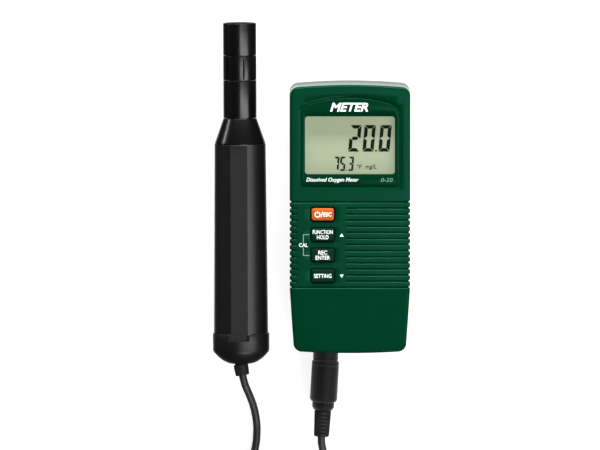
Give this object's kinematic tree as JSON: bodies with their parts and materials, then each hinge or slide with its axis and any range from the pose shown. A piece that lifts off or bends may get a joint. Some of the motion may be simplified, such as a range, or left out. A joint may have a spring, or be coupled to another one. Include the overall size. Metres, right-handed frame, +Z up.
{
  "type": "water quality probe",
  "caption": "Hand-held dissolved-oxygen meter with a display and keys, a plug-in round probe with an unscrewing membrane cap, and a coiled cable with a plug.",
  "frame": {"origin": "on the surface that the object lies on, below the centre of the box round the meter and the probe without the free cable", "axes": "+Z up, out of the display; +Y from the plug end towards the probe's tip, along the meter; +X to the meter's right side, as its display is read"},
  "size_m": [0.099, 0.2943, 0.0338],
  "materials": {
    "case_green": "fine satin grain",
    "window": "clear, glossy",
    "display": "grey-green reflective display",
    "white_plastic": "natural moulded",
    "contact_rubber": "matte",
    "board": "solder mask",
    "chip": "matte",
    "keypad_rubber": "matte",
    "key_orange": "matte",
    "key_green": "matte",
    "cell": "printed sleeve",
    "spring_steel": "nickel plated",
    "screw_steel": "zinc plated",
    "socket_plastic": "satin",
    "insert_plastic": "matte",
    "lead_sleeve": "matte",
    "probe_plastic": "satin turned",
    "seal_rubber": "matte",
    "gold": "polished",
    "silver": "satin",
    "thermistor_steel": "satin",
    "membrane_film": "thin film",
    "relief_rubber": "satin",
    "cord_jacket": "satin",
    "tie": "matte",
    "plug_plastic": "satin",
    "plug_metal": "nickel"
  },
  "bodies": {
    "meter": {"front_case": "case_green", "rear_case": "case_green", "lcd_lens": "window", "lcd_glass": "display", "lcd_frame": "white_plastic", "contact_strip": "contact_rubber", "main_board": "board", "main_chip": "chip", "keypad_mat": "keypad_rubber", "battery_1": "cell", "battery_2": "cell", "battery_3": "cell", "battery_4": "cell", "battery_plate_1": "spring_steel", "battery_plate_2": "spring_steel", "battery_plate_3": "spring_steel", "battery_plate_4": "spring_steel", "battery_plate_5": "spring_steel", "case_screw_1": "screw_steel", "case_screw_2": "screw_steel", "case_screw_3": "screw_steel", "case_screw_4": "screw_steel", "probe_socket": "socket_plastic", "socket_insert": "insert_plastic", "socket_lead": "lead_sleeve"},
    "battery_cover": {"battery_cover": "case_green", "cover_screw": "screw_steel"},
    "power_key": {"key_power": "key_orange"},
    "function_key": {"key_function": "key_green"},
    "record_key": {"key_record": "key_green"},
    "setting_key": {"key_setting": "key_green"},
    "probe": {"handle_tube": "probe_plastic", "nose_cone": "probe_plastic", "end_cap": "probe_plastic", "sensor_stem": "probe_plastic", "slotted_ring": "probe_plastic", "neck_seal": "seal_rubber", "electrode_holder": "white_plastic", "cathode": "gold", "anode": "silver", "thermistor": "thermistor_steel", "probe_board": "board", "cable_clamp": "white_plastic", "strain_relief": "relief_rubber", "cord_probe_lead": "cord_jacket", "cord_coil": "cord_jacket", "coil_tie": "tie", "cord_plug_lead": "cord_jacket", "plug_barrel": "plug_plastic", "plug_ferrule": "plug_plastic", "plug_boot": "relief_rubber", "plug_shell": "plug_metal", "plug_insert": "insert_plastic"},
    "cap_seal": {"cap_seal": "seal_rubber"},
    "membrane_cap": {"membrane_cap": "probe_plastic", "membrane": "membrane_film", "membrane_ring": "white_plastic"}
  },
  "joints": [
    {"name": "power_key_press", "type": "slide", "parent": "meter", "child": "power_key", "axis": [0, 0, -1], "range_m": [0, 0.0009], "stiffness_N_per_m": 800},
    {"name": "function_key_press", "type": "slide", "parent": "meter", "child": "function_key", "axis": [0, 0, -1], "range_m": [0, 0.0009], "stiffness_N_per_m": 800},
    {"name": "record_key_press", "type": "slide", "parent": "meter", "child": "record_key", "axis": [0, 0, -1], "range_m": [0, 0.0009], "stiffness_N_per_m": 800},
    {"name": "setting_key_press", "type": "slide", "parent": "meter", "child": "setting_key", "axis": [0, 0, -1], "range_m": [0, 0.0009], "stiffness_N_per_m": 800},
    {"name": "cover_lift", "type": "slide", "parent": "meter", "child": "battery_cover", "axis": [0, 0, -1], "range_m": [0, 0.01]},
    {"name": "probe_unplug", "type": "slide", "parent": "meter", "child": "probe", "axis": [-0.0558, -0.9984, 0], "range_m": [0, 0.012]},
    {"name": "cap_lift", "type": "slide", "parent": "probe", "child": "cap_seal", "axis": [-0.0047, 0.9999, -0.0147], "range_m": [0, 0.004]},
    {"name": "cap_turn", "type": "hinge", "parent": "cap_seal", "child": "membrane_cap", "pos_m": [-0.03606, 0.07228, 0.01215], "axis": [-0.0047, 0.9999, -0.0147], "range_deg": [0, 1440]}
  ],
  "couplings": [
    {"joint": "cap_lift", "follows": "cap_turn", "m_per_rad": 0.00015915}
  ]
}
